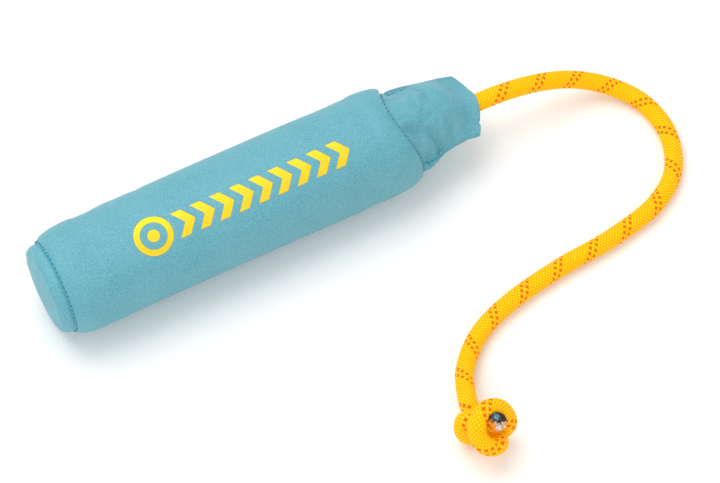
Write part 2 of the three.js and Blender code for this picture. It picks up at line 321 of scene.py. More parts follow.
whole_curve = smooth_curve(ROPE_ROUTE + KNOT_ROUTE[1:])
whole_length = curve_distance(whole_curve)[-1]
knot_start = curve_distance(whole_curve)[(len(ROPE_ROUTE) - 1) * CURVE_SAMPLES]
print(f"free rope {knot_start:.0f} mm, with its knot {whole_length:.0f} mm")

# %% [markdown]
# ## The braid
# Throwing rope is a hollow braid: twelve strands wind one way and twelve the other, each going
# over one and under one. Painting that on a smooth tube would leave its outline smooth, so the
# tube's own surface rises and falls with the strands. In the two strand coordinates a and b,
# each family is a row of rounded ridges that waves up and down, and the higher family shows.

# %% The braided surface
STRANDS = 12
BRAID_PITCH = 23.2
RIDGE = 0.34
ROUNDNESS = 0.9
WAVE = 0.22
BRAID_AROUND = 60
BRAID_STEP = 0.32
BRAID_PHASE = -0.142
CAP_HEIGHT = 0.6


def braid_height(angle, distance):
    """How far the braid stands out, for an angle round the rope and a distance along it.

    Across one strand the height follows part of a circle. Along it, it waves up where the
    strand goes over another, which is at every second crossing.
    """
    turn = angle / TURN + BRAID_PHASE
    a = STRANDS * (turn + distance / BRAID_PITCH)
    b = STRANDS * (turn - distance / BRAID_PITCH)
    over_a = RIDGE * np.sqrt(1 - ROUNDNESS * (2 * (a % 1) - 1) ** 2)
    over_b = RIDGE * np.sqrt(1 - ROUNDNESS * (2 * (b % 1) - 1) ** 2)
    over_a += WAVE * (1 - 2 * (np.floor(a) % 2)) * np.sin(np.pi * b)
    over_b -= WAVE * (1 - 2 * (np.floor(b) % 2)) * np.sin(np.pi * a)
    return np.maximum(over_a, over_b)


def braid(line, distance, across, sideways, radius):
    """A grid of points round a line: rings whose radius is the rope's plus the braid's height."""
    angle = np.linspace(0, TURN, BRAID_AROUND, endpoint=False)
    height = braid_height(angle[None, :], distance[:, None])
    reach = (radius - RIDGE - WAVE / 2 + height)[..., None]
    ring = across[:, None] * np.cos(angle)[None, :, None]
    ring = ring + sideways[:, None] * np.sin(angle)[None, :, None]
    points = line[:, None] + reach * ring
    turns, pitches = np.broadcast_arrays(angle[None, :] / TURN, distance[:, None] / BRAID_PITCH)
    return points, np.stack([turns, pitches], axis=2)


def capped(line, along):
    """The two points that close a tube, a little way beyond its ends."""
    return line[0] - along[0] * CAP_HEIGHT, line[-1] + along[-1] * CAP_HEIGHT


all_line, all_distance = even_points(whole_curve, 0, whole_length, BRAID_STEP)
all_along, all_across, all_sideways = rope_frames(all_line)
split = int(np.searchsorted(all_distance, knot_start))
grid, uv = braid(all_line[:split], all_distance[:split], all_across[:split],
                 all_sideways[:split], ROPE_R)
rope = surface("braided_rope", grid, uv, period=1.0, flip=True,
               poles=capped(all_line[:split], all_along[:split]))
print("rope faces", len(rope.data.polygons))

# %% [markdown]
# ## The rope inside the neck
# Behind the mouth the rope goes on to an anchor knot. It can only be glimpsed there, but the
# braid runs on without a break in its pattern, so it is made with the same function.

# %% The inner rope
tail_curve = smooth_curve(TAIL_ROUTE)
tail_length = curve_distance(tail_curve)[-1]
tail_line, tail_distance = even_points(tail_curve, 0, tail_length, BRAID_STEP)
tail_along, tail_across, tail_sideways = rope_frames(tail_line)
grid, uv = braid(tail_line, tail_distance - tail_length, tail_across, tail_sideways, ROPE_R)
inner_rope = surface("inner_rope", grid, uv, period=1.0, flip=True,
                     poles=capped(tail_line, tail_along))
print(f"inner rope {tail_length:.0f} mm")

# %% [markdown]
# ## The stopper knot
# The knot is an overhand knot pulled tight. The strands of a tight knot flatten on each other,
# and a plain tube would cut through its neighbours. So each point of the tube looks for the
# nearest strand that isn't its own, and where it has gone past the plane midway between the two,
# it is pushed back to it. Both strands end in the same flat face, as two soft ropes do.

# %% The knot
OWN_STRETCH = 13.0
FACE_GAP = 0.12
KNOT_GAP = 0.3


def squash_strands(grid, line, distance, other_line, other_distance):
    """Pushes each point of a tube back to the plane midway to the nearest other strand."""
    squashed = grid.copy()
    for i in range(len(line)):
        others = other_line[np.abs(other_distance - distance[i]) > OWN_STRETCH]
        apart = np.linalg.norm(grid[i][:, None] - others[None], axis=2)
        nearest = others[np.argmin(apart, axis=1)]
        between = nearest - line[i]
        gap = np.linalg.norm(between, axis=1)[:, None]
        between = between / gap
        past = np.sum((grid[i] - line[i]) * between, axis=1)[:, None] - (gap / 2 - FACE_GAP)
        squashed[i] -= np.maximum(past, 0) * between
    return squashed


knot_rings = slice(split - 1, None)
coarse = slice(None, None, 4)
grid, uv = braid(all_line[knot_rings], all_distance[knot_rings] + KNOT_GAP, all_across[knot_rings],
                 all_sideways[knot_rings], ROPE_R)
grid = squash_strands(grid, all_line[knot_rings], all_distance[knot_rings],
                      all_line[coarse], all_distance[coarse])
grid[..., 2] = np.maximum(grid[..., 2], 0.05)
knot = surface("stopper_knot_rope", grid, uv, period=1.0, flip=True,
               poles=capped(all_line[knot_rings], all_along[knot_rings]))
print("knot faces", len(knot.data.polygons), "reaches down to z", round(float(grid[..., 2].min()), 2))

# %% [markdown]
# ## The cut end
# The rope was cut with a hot blade. Its white core shows as a bundle of yarn ends, and one side
# has melted into a dark glassy crust. It is one disc whose surface is a heap of small domes:
# at each point the height is that of the dome it is on. How molten, how blue and how orange a
# dome is goes into a colour attribute that the material reads, and so does painted shade that
# darkens each dome towards its edge.

# %% The cut end
YARNS = 46
YARN_R = 0.85
END_R = 5.1
END_RINGS = 34
END_AROUND = 96
END_EDGE = 1.4
MOLTEN_SIDE = np.array([0.40, 0.77, 0.50])
WHITE_YARN = np.array([0.88, 0.82, 0.78])
PEACH_YARN = np.array([0.95, 0.50, 0.26])
ORANGE_YARN = np.array([0.94, 0.29, 0.01])
BLUE_YARN = np.array([0.20, 0.56, 0.66])
CRUST = np.array([0.030, 0.011, 0.010])


def yarn_colours(x, y, random, shade):
    """A colour for each yarn end at (x, y): pale below, orange at one side, dark and blue above."""
    dip = 1.9 * bump((x - 0.5) / 1.4)
    molten = smooth((y + 0.3 + dip) / 1.4 + random.normal(0, 0.25, YARNS))[:, None]
    orange = smooth((-x - y * 0.2 - 1.3) / 1.5)[:, None]
    blue = (bump((x + 0.9) / 1.3) * bump((y - 2.4) / 1.4))[:, None]
    colours = np.where(shade[:, None] > 0.9, WHITE_YARN, PEACH_YARN) * shade[:, None]
    colours += (ORANGE_YARN - colours) * orange
    colours += (CRUST - colours) * molten
    colours += (BLUE_YARN - colours) * blue * 0.9
    return colours


def yarn_ends():
    """A domed disc of yarn ends: its grid of points, and a colour for each point.

    The yarns' centres lie on a sunflower spiral, which fills a disc evenly. The height is a
    quarter of an ellipse over the disc, and a small dome round each centre.
    """
    random = np.random.default_rng(7)
    order = np.arange(YARNS)
    centre_r = END_R * 0.97 * np.sqrt((order + 0.5) / YARNS)
    centre_a = order * np.pi * (3 - np.sqrt(5))
    centres = np.stack([centre_r * np.cos(centre_a), centre_r * np.sin(centre_a)], axis=1)
    centres += random.normal(0, 0.16, centres.shape)
    tall = random.uniform(0.2, 0.75, YARNS)
    shade = random.uniform(0.78, 1.0, YARNS)

    r = END_R * np.linspace(0.03, 1, END_RINGS)[:, None]
    angle = np.linspace(0, TURN, END_AROUND, endpoint=False)[None, :]
    x = r * np.cos(angle)
    y = r * np.sin(angle)
    away = np.hypot(x[..., None] - centres[:, 0], y[..., None] - centres[:, 1])
    nearest = np.argmin(away, axis=2)
    dome = np.sqrt(np.maximum(1 - (np.min(away, axis=2) / YARN_R) ** 2, 0.04))
    rim = np.sqrt(np.maximum(1 - (r / END_R) ** 2, 0))
    height = 0.3 + 0.9 * rim + tall[nearest] * dome
    colours = yarn_colours(centres[:, 0], centres[:, 1], random, shade)
    # Painted shade: each yarn end darkens towards its edge, where it meets its neighbours.
    colour = colours[nearest] * (0.45 + 0.55 * dome)[..., None]
    return np.stack(np.broadcast_arrays(x, y, height), axis=2), colour


flat_end, end_colour = yarn_ends()
end_place = all_line[-1]
end_axis = all_along[-1]
end_up = MOLTEN_SIDE - end_axis * (MOLTEN_SIDE @ end_axis)
end_up /= np.linalg.norm(end_up)
end_side = np.cross(end_up, end_axis)
facing = flat_end @ np.stack([end_side, end_up, end_axis]) + end_place
rim_row = facing[-1:] - end_axis * END_EDGE
back_row = (rim_row - end_place) * 0.8 + end_place
cut_grid = np.concatenate([facing, rim_row, back_row])[::-1]
cut_colour = np.concatenate([end_colour, end_colour[-1:], end_colour[-1:]])[::-1]
hubs = (end_place - end_axis, end_place + end_axis * 1.7)
cut_end = surface("cut_rope_end", cut_grid, poles=hubs)
yarn_colour = np.ones((len(cut_end.data.vertices), 4))
yarn_colour[:cut_colour.size // 3, :3] = cut_colour.reshape(-1, 3)
yarn_colour[-2:, :3] = cut_colour[-1].mean(axis=0)
cut_end.data.color_attributes.new("yarn", "FLOAT_COLOR", "POINT").data.foreach_set(
    "color", yarn_colour.ravel())
print("cut end faces", len(cut_end.data.polygons))

# %% [markdown]
# ## The cloth pass
# A fabric piece over a stuffing is never quite the shape that it was cut to. The pressure from
# inside fills it, and where a seam holds it, it creases. Blender's cloth does that: the seams
# are pinned, the rest swells from inside for twenty frames, and the result is copied into the
# mesh with no point moved further than a cap.

# %% The cloth helper
CLOTH_FRAMES = 20


def read_points(mesh):
    """A mesh's points as an array of shape (points, 3), in metres."""
    flat = np.empty(len(mesh.vertices) * 3)
    mesh.vertices.foreach_get("co", flat)
    return flat.reshape(-1, 3)


def fill_with_pressure(piece, held, pressure, spare, cap):
    """Runs cloth on a piece and keeps its result.

    held is how firmly each point is pinned, from 0 to 1. spare is how much larger the cloth was
    cut than the shape it covers, and cap the furthest that a point may move, in millimetres.
    """
    start = read_points(piece.data)
    pinned = piece.vertex_groups.new(name="pinned")
    for level in np.unique(held):
        members = np.flatnonzero(held == level).tolist()
        pinned.add(members, float(level), "REPLACE")
    cloth = piece.modifiers.new("cloth", "CLOTH")
    cloth.settings.quality = 6
    cloth.settings.mass = 0.15
    cloth.settings.tension_stiffness = 20
    cloth.settings.compression_stiffness = 20
    cloth.settings.shear_stiffness = 8
    cloth.settings.bending_stiffness = 0.4
    cloth.settings.vertex_group_mass = "pinned"
    cloth.settings.use_pressure = True
    cloth.settings.uniform_pressure_force = pressure
    cloth.settings.shrink_min = -spare
    cloth.settings.effector_weights.gravity = 0
    cloth.collision_settings.use_collision = False
    for frame_number in range(1, CLOTH_FRAMES + 1):
        scene.frame_set(frame_number)
    settled = piece.evaluated_get(bpy.context.evaluated_depsgraph_get())
    moved = read_points(settled.data) - start
    piece.modifiers.remove(cloth)
    piece.vertex_groups.remove(pinned)
    scene.frame_set(1)
    size = np.linalg.norm(moved, axis=1)[:, None]
    limit = cap * MM
    moved *= limit * np.tanh(size / limit) / np.maximum(size, 1e-9)
    piece.data.vertices.foreach_set("co", (start + moved).ravel())
    piece.data.update()
    furthest, average = size.max() / MM, size.mean() / MM
    print(f"{piece.name}: cloth moved {furthest:.2f} mm at most, {average:.2f} on average")


def finish_soft(piece):
    """One level of subdivision."""
    rounding = piece.modifiers.new("rounding", "SUBSURF")
    rounding.levels = 1
    rounding.render_levels = 1


# %% [markdown]
# ## The fabric tube
# The body's cover is one piece of fabric, turned round the foam. Its profile is a line in x and
# radius: in under the end panel, round the soft corner, along the body, over the shoulder, and
# back in through the rolled edge that the neck comes out of. The profile is carried round the
# axis. On the way the shoulder bows, the seams pucker, and the underside rests flat.

# %% The tube's profile
CORNER_LENGTH = 17.5
SHOULDER_X = 65.0
CREASE_X = 77.5
CREASE_R = 26.2
CREASE_BOW = 7.5
BOW_START = 48.0
WALL = 1.1
STITCH_SEAT = 0.8
COVER_AROUND = 144
COVER_STEP = 1.9


def quarter(start, end, steps):
    """A quarter of an ellipse from one (x, radius) point, where it runs along x, to another."""
    a = np.linspace(0, np.pi / 2, steps)
    return np.stack([start[0] + (end[0] - start[0]) * np.sin(a),
                     end[1] + (start[1] - end[1]) * np.cos(a)], axis=1)


def cover_profile():
    """The outline of the tube's wall as (x, radius), outside from left to right, inside back."""
    corner_x = END_SEAM_X + CORNER_LENGTH
    corner = quarter((corner_x, BODY_R), (END_SEAM_X + 0.05, PANEL_R + 0.1), 14)[::-1]
    straight_x = np.arange(corner_x + COVER_STEP, SHOULDER_X, COVER_STEP)
    straight = np.stack([straight_x, np.full(len(straight_x), BODY_R)], axis=1)
    shoulder = quarter((SHOULDER_X, BODY_R), (CREASE_X, CREASE_R), 13)
    lip = np.array([(CREASE_X - 0.15, CREASE_R - 0.6), (CREASE_X - 0.8, CREASE_R - 1.0)])
    inside_r = BODY_R - WALL
    inner_shoulder = quarter((SHOULDER_X, inside_r), (CREASE_X - 2, CREASE_R - WALL), 5)[::-1]
    inner_x = np.linspace(SHOULDER_X, corner_x, 12)[1:-1]
    inside = np.stack([inner_x, np.full(len(inner_x), inside_r)], axis=1)
    inner_corner = quarter((corner_x, inside_r), (END_SEAM_X + 1.2, PANEL_R - WALL), 6)
    edge = np.array([(END_SEAM_X + 0.6, PANEL_R - 1.6), (END_SEAM_X + 0.2, PANEL_R - 0.9)])
    outside = np.vstack([corner, straight, shoulder])
    return np.vstack([outside, lip, inner_shoulder, inside, inner_corner, edge]), len(outside)


def corner_angle(columns):
    """Angles round the axis, measured from the top towards -Y."""
    return np.linspace(0, TURN, columns, endpoint=False)


def ripple(angle, counts, seed):
    """An uneven ripple round a ring: a few waves of seeded phase and size, added up."""
    random = np.random.default_rng(seed)
    total = np.zeros_like(angle)
    for count in counts:
        total += random.uniform(0.4, 1.0) * np.sin(count * angle + random.uniform(0, TURN))
    return total / len(counts)


def cover_surface():
    """The tube's grid: the profile turned round the axis, then bowed, puckered and set down.

    To the radius are added a shallow groove under the end seam's stitches and a swell beside
    it, ripples that die out away from both seams, and a faint slackness along the body.
    """
    profile, outer_rows = cover_profile()
    x = profile[:, :1]
    r = profile[:, 1:]
    angle = corner_angle(COVER_AROUND)[None, :]
    outer = (np.arange(len(profile)) < outer_rows)[:, None]
    stitched = bump((x - END_SEAM_X - STITCH_SEAT) / 0.9)
    swell = bump((x - END_SEAM_X - 4.2) / 2.0)
    pucker = ripple(angle, (23, 31, 38), 1) * bump((x - END_SEAM_X - 3) / 3.0)
    gather = ripple(angle, (19, 26, 33, 41), 2) * bump((x - CREASE_X + 3.0) / 5.0)
    slack = ripple(angle + x / 60, (3, 5, 7), 3) * np.sin((x + 30) / 21)
    slack = slack * smooth((60 - np.abs(x)) / 30)
    relief = -0.2 * stitched + 0.3 * swell + 0.22 * pucker + 0.36 * gather + 0.08 * slack
    r = r + outer * relief
    bow = CREASE_BOW * np.sin(angle) ** 2 * smooth((x - BOW_START) / (CREASE_X - BOW_START))
    flat_x, flat_r, turned = np.broadcast_arrays(x + bow, r, angle)
    z = AXIS_Z + flat_r * np.cos(turned)
    points = np.stack([flat_x, -flat_r * np.sin(turned), np.maximum(z, 0.02)], axis=2)
    uv = np.stack(np.broadcast_arrays(angle * BODY_R, x), axis=2)
    return points, uv, outer_rows


cover_grid, cover_uv, cover_outer_rows = cover_surface()
cover = surface("body_cover", cover_grid, cover_uv, period=TURN * BODY_R, wrap_rows=True)
cover_x = cover_grid[..., 0]
hold = 1 - smooth((cover_x - END_SEAM_X - 2) / 6) * smooth((CREASE_X - 2 - cover_x) / 8)
hold = np.maximum(hold, smooth((8 - cover_grid[..., 2]) / 5))
hold[cover_outer_rows:] = 1
fill_with_pressure(cover, np.round(hold, 1).ravel(), 4.0, 0.008, 0.4)
finish_soft(cover)
print("cover faces", len(cover.data.polygons))

# %% [markdown]
# ## The end panel
# The round end is a disc of the same fabric, pushed out a little by the foam. Its raw edge is
# folded in and sewn to the tube, so it has a soft rounded rim that tucks in under the tube's edge.
# The profile runs from the middle of the outside, over the rim, and back to the middle inside.

# %% The end panel
PANEL_DOME = 1.9
PANEL_WALL = 1.6
PANEL_AROUND = 120
PANEL_RINGS = 16
PANEL_POLE_X = LEFT_END - 0.9
ROLL_STEPS = 10
ROLL_R = 4.3
ROLL_TURN = 0.62 * np.pi


def panel_surface():
    """The panel's grid: a shallow dome, whose rim rolls over an arc of rather more than a quarter
    circle, tucks in under the tube's edge, and returns inside."""
    rim_r = PANEL_R - 3.4
    t = np.linspace(0.04, 1, PANEL_RINGS)
    dome_x = PANEL_POLE_X + PANEL_DOME * t ** 2.2
    dome = np.stack([dome_x, rim_r * t], axis=1)
    a = np.linspace(0, 1, ROLL_STEPS + 1)[1:] * ROLL_TURN
    reach = END_SEAM_X + 0.75 - dome_x[-1]
    roll_x = dome_x[-1] + reach * (1 - np.cos(a)) / (1 - np.cos(ROLL_TURN))
    roll = np.stack([roll_x, rim_r + ROLL_R * np.sin(a)], axis=1)
    valley = np.array([(END_SEAM_X + 0.5, PANEL_R - 0.9), (END_SEAM_X - 1.0, PANEL_R - 1.8)])
    back = np.stack([dome_x + PANEL_WALL, (rim_r - 1.4) * t], axis=1)[::-1]
    profile = np.vstack([dome, roll, valley, back])
    x = profile[:, :1]
    r = profile[:, 1:]
    angle = corner_angle(PANEL_AROUND)[None, :]
    outer = (np.arange(len(profile)) < len(dome) + len(roll))[:, None]
    near_rim = smooth((r - 12) / 10) * outer
    x = x + near_rim * 0.28 * ripple(angle, (5, 8, 13), 4)
    r = r + near_rim * 0.16 * ripple(angle, (21, 29, 37), 5)
    wide_x, wide_r, turned = np.broadcast_arrays(x, r, angle)
    y = -wide_r * np.sin(turned)
    z = AXIS_Z + wide_r * np.cos(turned)
    points = np.stack([wide_x, y, z], axis=2)
    return points, np.stack([y, z], axis=2), outer


panel_grid, panel_uv, panel_outer = panel_surface()
panel_hubs = ((PANEL_POLE_X, 0, AXIS_Z), (PANEL_POLE_X + PANEL_WALL, 0, AXIS_Z))
end_cap = surface("end_panel_cover", panel_grid, panel_uv, poles=panel_hubs)
panel_hold = np.broadcast_to(1 - 0.85 * panel_outer, panel_grid.shape[:2]).copy()
panel_hold[PANEL_RINGS + 3:] = 1
panel_hold = np.append(panel_hold.ravel(), [0.1, 1])
fill_with_pressure(end_cap, np.round(panel_hold, 1), 4.0, 0.01, 0.8)
finish_soft(end_cap)
print("end panel faces", len(end_cap.data.polygons))

# %% [markdown]
# ## The neck
# The neck is a sleeve, round where it comes out of the tube and pressed flat towards its mouth.
# A row of stitches runs along each side, with a narrow flange of doubled fabric outside it, and
# the cloth between them is pulled into folds. Its section goes from a circle to a lens with thin
# edges, and the folds are bells laid along short lines in plan, so each has its own place,
# width and height.

# %% The neck's width, height and mouth
NECK_R = 24.7
NECK_START = 71.5
NECK_PRESS_START = 81.0
NECK_TIP = MOUTH_X + 1.4
MOUTH_TIP_Y = 2.7
NECK_AROUND = 168
NECK_EDGE_THICK = 0.95
LIP_HALF_HEIGHT = 6.8
LIP_DRAW = 5.9
ROPE_HUMP = 5.0
ROPE_HUMP_WIDTH = 7.6
ROPE_EXIT_Y = -2.3
FLARE_X = 87.5
NEAR_EDGE = [
    (71, 24.7), (84, 24.7), (87.5, 27.4), (90.5, 27.2), (96.5, 25.2),
    (102.5, 22.7), (111.5, 21.0), (122.5, 20.1), (131.5, 21.4),
]
FAR_EDGE = [
    (71, 24.7), (84, 24.7), (87.5, 26.9), (91.5, 27.7),
    (100.5, 26.8), (112.5, 24.1), (123.5, 21.9), (131.5, 19.3),
]


def along_edge(x, edge):
    """An edge's distance from the axis at x, read from its few points and evened out."""
    spots = np.array(edge, dtype=float)
    reach = np.linspace(-2, 2, 9)
    return np.mean([np.interp(x + step, spots[:, 0], spots[:, 1]) for step in reach], axis=0)


def to_line(x, y, route):
    """The distance of each point in plan from a line of straight stretches."""
    nearest = np.full(np.broadcast(x, y).shape, np.inf)
    for (x0, y0), (x1, y1) in zip(route[:-1], route[1:]):
        run_x, run_y = x1 - x0, y1 - y0
        along = ((x - x0) * run_x + (y - y0) * run_y) / (run_x ** 2 + run_y ** 2)
        along = np.clip(along, 0, 1)
        nearest = np.minimum(nearest, np.hypot(x - x0 - along * run_x, y - y0 - along * run_y))
    return nearest


# Each fold: its line in plan, its half width and its height, which is below zero in a valley.
FOLDS = [
    ([(93.5, -27.0), (98, -23.5), (101.8, -18.5), (105, -12)], 2.2, 1.3),
    ([(97.5, -25.0), (99.2, -19.5), (97, -13.8), (91.5, -11.4), (83, -11)], 1.8, -2.8),
    ([(87, -20), (92, -17)], 4.0, 1.2),
    ([(101, -24), (106, -18.5), (110.5, -11)], 3.4, -1.5),
    ([(98.4, 18.5), (101.5, 13.5), (103.6, 8.3), (104.3, 4)], 2.0, -2.4),
    ([(94, 18.5), (97, 11.5), (98.5, 5.5)], 2.8, 1.3),
    ([(82, 8), (88.5, 10), (93.5, 14)], 2.6, -1.1),
    ([(113.5, 18), (117.5, 10)], 2.6, 0.8),
]


def neck_wall(x, angle, depth):
    """The neck's wall at x, an angle from the top towards -Y, and a depth below its skin.

    The half height is a circle's inside the tube and a lens's past it, and near the mouth it is
    two flat lips with a round hump over the rope. The mouth's edge draws back on both sides of
    its tip. Folds and gathers are added last, and die out towards the side edges.
    """
    lateral = np.sin(angle)
    upright = np.cos(angle)
    width = np.where(lateral > 0, along_edge(x, NEAR_EDGE), along_edge(x, FAR_EDGE)) - depth
    y = -width * lateral
    taper = np.clip((x - NECK_PRESS_START) / (NECK_TIP - NECK_PRESS_START), 0, 1)
    height = NECK_R + (LIP_HALF_HEIGHT - NECK_R) * taper ** 1.35
    pressed = smooth((x - NECK_PRESS_START) / 9)
    row_at = 0.88 + 0.12 * smooth((x - 98.5) / 12)
    lens = np.maximum(1 - (np.abs(lateral) / row_at) ** 2, 0) ** 1.1
    edge = NECK_EDGE_THICK * np.minimum(np.abs(upright) / 0.16, 1)
    lens_height = edge + (height - NECK_EDGE_THICK) * lens
    lips = edge + 0.35 + ROPE_HUMP * bump((y - ROPE_EXIT_Y) / ROPE_HUMP_WIDTH)
    lens_height += (lips - lens_height) * smooth((x - NECK_TIP + 21) / 20)
    half_height = np.abs(upright) * height * (1 - pressed) + lens_height * pressed
    drawn = np.clip((x - FLARE_X) / (NECK_TIP - FLARE_X), 0, 1)
    back = LIP_DRAW * drawn * ((y - MOUTH_TIP_Y) / 20) ** 2
    back += 1.5 * bump((y + 13.6) / 1.5) * smooth((x - NECK_TIP + 6) / 6)
    plan_x = x - back
    away_from_edge = smooth(np.abs(upright) / 0.45)
    for route, half_width, rise in FOLDS:
        fold = rise * bump(to_line(plan_x, y, route) / half_width)
        half_height = half_height + fold * away_from_edge
    gather = ripple(angle, (17, 24, 31, 39), 6) * bump((x - 81 - 5 * lateral ** 2) / 3.4)
    half_height = half_height + 0.5 * gather * away_from_edge
    half_height = np.where(depth > 0, np.maximum(half_height - depth, 0.12), half_height)
    z = AXIS_Z + np.where(upright >= 0, 1.0, -1.0) * half_height
    return np.stack(np.broadcast_arrays(plan_x, y, z), axis=2)


# %% The neck's surface
def neck_surface():
    """The neck's grid: its skin out to the mouth, a rounded lip, and its inner wall back."""
    angle = corner_angle(NECK_AROUND)[None, :]
    skin_x = np.concatenate([np.linspace(NECK_START, 78, 5), np.linspace(79, NECK_TIP - 0.6, 46)])
    skin = neck_wall(skin_x[:, None], angle, 0.0)
    lip = neck_wall(np.array([[NECK_TIP]]), angle, 0.55)
    inner_x = np.linspace(NECK_TIP - 0.6, NECK_START, 20)
    inner = neck_wall(inner_x[:, None], angle, WALL)
    points = np.concatenate([skin, lip, inner])
    x = np.concatenate([skin_x, [NECK_TIP], inner_x])[:, None]
    uv = np.stack(np.broadcast_arrays(angle * NECK_R, x), axis=2)
    return points, uv, len(skin_x)


neck_grid, neck_uv, neck_skin_rows = neck_surface()
neck = surface("neck_cover", neck_grid, neck_uv, period=TURN * NECK_R, wrap_rows=True)
neck_x = neck_grid[..., 0]
side_hold = smooth((np.abs(np.sin(corner_angle(NECK_AROUND))) - 0.8) / 0.1)[None, :]
neck_hold = 1 - smooth((neck_x - 83) / 6) * smooth((NECK_TIP - 5 - neck_x) / 8) * (1 - side_hold)
neck_hold[neck_skin_rows:] = 1
fill_with_pressure(neck, np.round(neck_hold, 1).ravel(), 1.5, 0.02, 0.7)
finish_soft(neck)
print("neck faces", len(neck.data.polygons))

# %% [markdown]
# ## The lapped seam
# The tube is closed lengthwise by a lap on its far side: one edge folded over the other and sewn
# down with two rows. It is a thin strip that follows the tube's curve. Its section is carried
# along x, a little thinner where each row of stitches pulls it down.

# %% The lapped seam
LAP_LOW, LAP_HIGH = node_box("back_seam_lap")
LAP_ANGLE = np.radians(-130)
LAP_HALF = 4.0
LAP_THICK = 1.0
LAP_ROW = 2.6
LAP_GAP = 0.12


def lap_surface():
    """The lap's grid: a thin rounded section, bent round the tube and carried along x."""
    around = np.linspace(0, TURN, 48, endpoint=False)[None, :]
    x = np.linspace(LAP_LOW[0] + 0.5, LAP_HIGH[0] - 0.5, 170)[:, None]
    across = LAP_HALF * np.sign(np.cos(around)) * np.abs(np.cos(around)) ** 0.55
    rise = LAP_THICK * np.sign(np.sin(around)) * np.abs(np.sin(around)) ** 0.45 / 2
    sewn = bump((np.abs(across) - LAP_ROW) / 0.6) * (np.sin(around) > 0)
    waver = 0.14 * np.sin(x / 4.3) * np.sin(x / 17 + 1)
    r = BODY_R + LAP_GAP + LAP_THICK / 2 + rise - 0.28 * sewn * (1 + 0.5 * np.sin(TURN * x / 3))
    angle = LAP_ANGLE - (across + waver) / BODY_R
    wide_x, wide_r, turned = np.broadcast_arrays(x, r, angle)
    points = np.stack([wide_x, -wide_r * np.sin(turned), AXIS_Z + wide_r * np.cos(turned)], axis=2)
    return points, np.stack(np.broadcast_arrays(around * 2 * LAP_HALF / np.pi, x), axis=2)


lap_grid, lap_uv = lap_surface()
lap_hubs = (lap_grid[0].mean(axis=0) - [0.4, 0, 0], lap_grid[-1].mean(axis=0) + [0.4, 0, 0])
lap = surface("lapped_seam", lap_grid, lap_uv, period=4 * LAP_HALF, poles=lap_hubs)
print("lap faces", len(lap.data.polygons))

# %% [markdown]
# ## Stitches
# A stitch is a short arch of thread that comes out of the cloth and goes back into it. Hundreds
# of them are needed, so each has only a few dozen faces. All the stitches of a row are computed
# at once from their two ends. The ends are found by shooting a ray at the fabric, so the row
# follows its folds, where a line drawn in the air would float or sink.

# %% The stitch helper
THREAD_R = 0.44
STITCH_RINGS = 7
STITCH_SIDES = 6
STITCH_ARCH = 0.34
STITCH_SINK = 0.05


def stitch_row(name, starts, ends, outward):
    """A mesh of stitches between two lists of points, arched along the outward directions.

    The middle line is the straight line with half a sine wave on it, and the thread gets
    thinner towards both ends, where it goes into the cloth.
    """
    t = np.linspace(0.02, 0.98, STITCH_RINGS)[None, :, None]
    arch = np.sin(np.pi * t)
    run = ends - starts
    rise = STITCH_ARCH * arch - STITCH_SINK
    middle = starts[:, None] + run[:, None] * t + outward[:, None] * rise
    side = np.cross(run, outward)
    side /= np.linalg.norm(side, axis=1)[:, None]
    angle = np.linspace(0, TURN, STITCH_SIDES, endpoint=False)[None, None, :, None]
    spoke = side[:, None, None] * np.cos(angle) + outward[:, None, None] * np.sin(angle)
    rings = middle[:, :, None] + spoke * (THREAD_R * arch ** 0.4)[:, :, None]
    count = len(starts)
    hubs = np.stack([middle[:, 0], middle[:, -1]], axis=1)
    each = STITCH_RINGS * STITCH_SIDES + 2
    points = np.concatenate([rings.reshape(count, -1, 3), hubs], axis=1).reshape(-1, 3)
    row, column = grid_corners(STITCH_RINGS, STITCH_SIDES)
    one = (row * STITCH_SIDES + column % STITCH_SIDES)[:, ::-1]
    ring = np.arange(STITCH_SIDES)
    following = np.roll(ring, -1)
    last = (STITCH_RINGS - 1) * STITCH_SIDES
    front = np.stack([np.full(STITCH_SIDES, each - 2), ring, following], axis=1)
    back = np.stack([np.full(STITCH_SIDES, each - 1), following + last, ring + last], axis=1)
    offsets = (np.arange(count) * each)[:, None, None]
    faces = (one + offsets).reshape(-1, 4).tolist()
    faces += (np.concatenate([front, back]) + offsets).reshape(-1, 3).tolist()
    mesh = bpy.data.meshes.new(name)
    mesh.from_pydata((points * MM).tolist(), [], faces)
    print(f"{name}: {count} stitches")
    return add_object(name, mesh)


def fabric_tree(piece):
    """A search tree over a piece's finished surface, for rays."""
    return BVHTree.FromObject(piece, bpy.context.evaluated_depsgraph_get())


def land(tree, origins, directions, fallback):
    """Where rays meet a surface, in millimetres, or the fallback point of a ray that misses."""
    landed = np.array(fallback, dtype=float)
    for i, (origin, direction) in enumerate(zip(origins * MM, directions)):
        hit = tree.ray_cast(Vector(origin), Vector(direction))[0]
        if hit is not None:
            landed[i] = np.array(hit) / MM
    return landed


def ring_stitches(name, tree, x_of, radius, count, share):
    """A ring of stitches round the axis, each a share of its pitch long."""
    pitch = TURN / count
    start_angle = np.arange(count) * pitch

    def landed(angle):
        outward = np.stack([np.zeros(count), -np.sin(angle), np.cos(angle)], axis=1)
        axis_point = np.stack([x_of(angle), np.zeros(count), np.full(count, AXIS_Z)], axis=1)
        origins = axis_point + outward * (radius + 12)
        return land(tree, origins, -outward, axis_point + outward * radius), outward

    starts, outward = landed(start_angle)
    ends, _ = landed(start_angle + pitch * share)
    return stitch_row(name, starts, ends, outward)


# %% The two rings of stitches
END_STITCHES = 58
END_SHARE = 0.66
SHOULDER_STITCHES = 56
SHOULDER_SHARE = 0.42
SHOULDER_SEAT = 0.7


def end_seam_line(angle):
    """Where the end seam's stitches are along x: a plain ring."""
    return np.full(len(angle), END_SEAM_X + STITCH_SEAT)


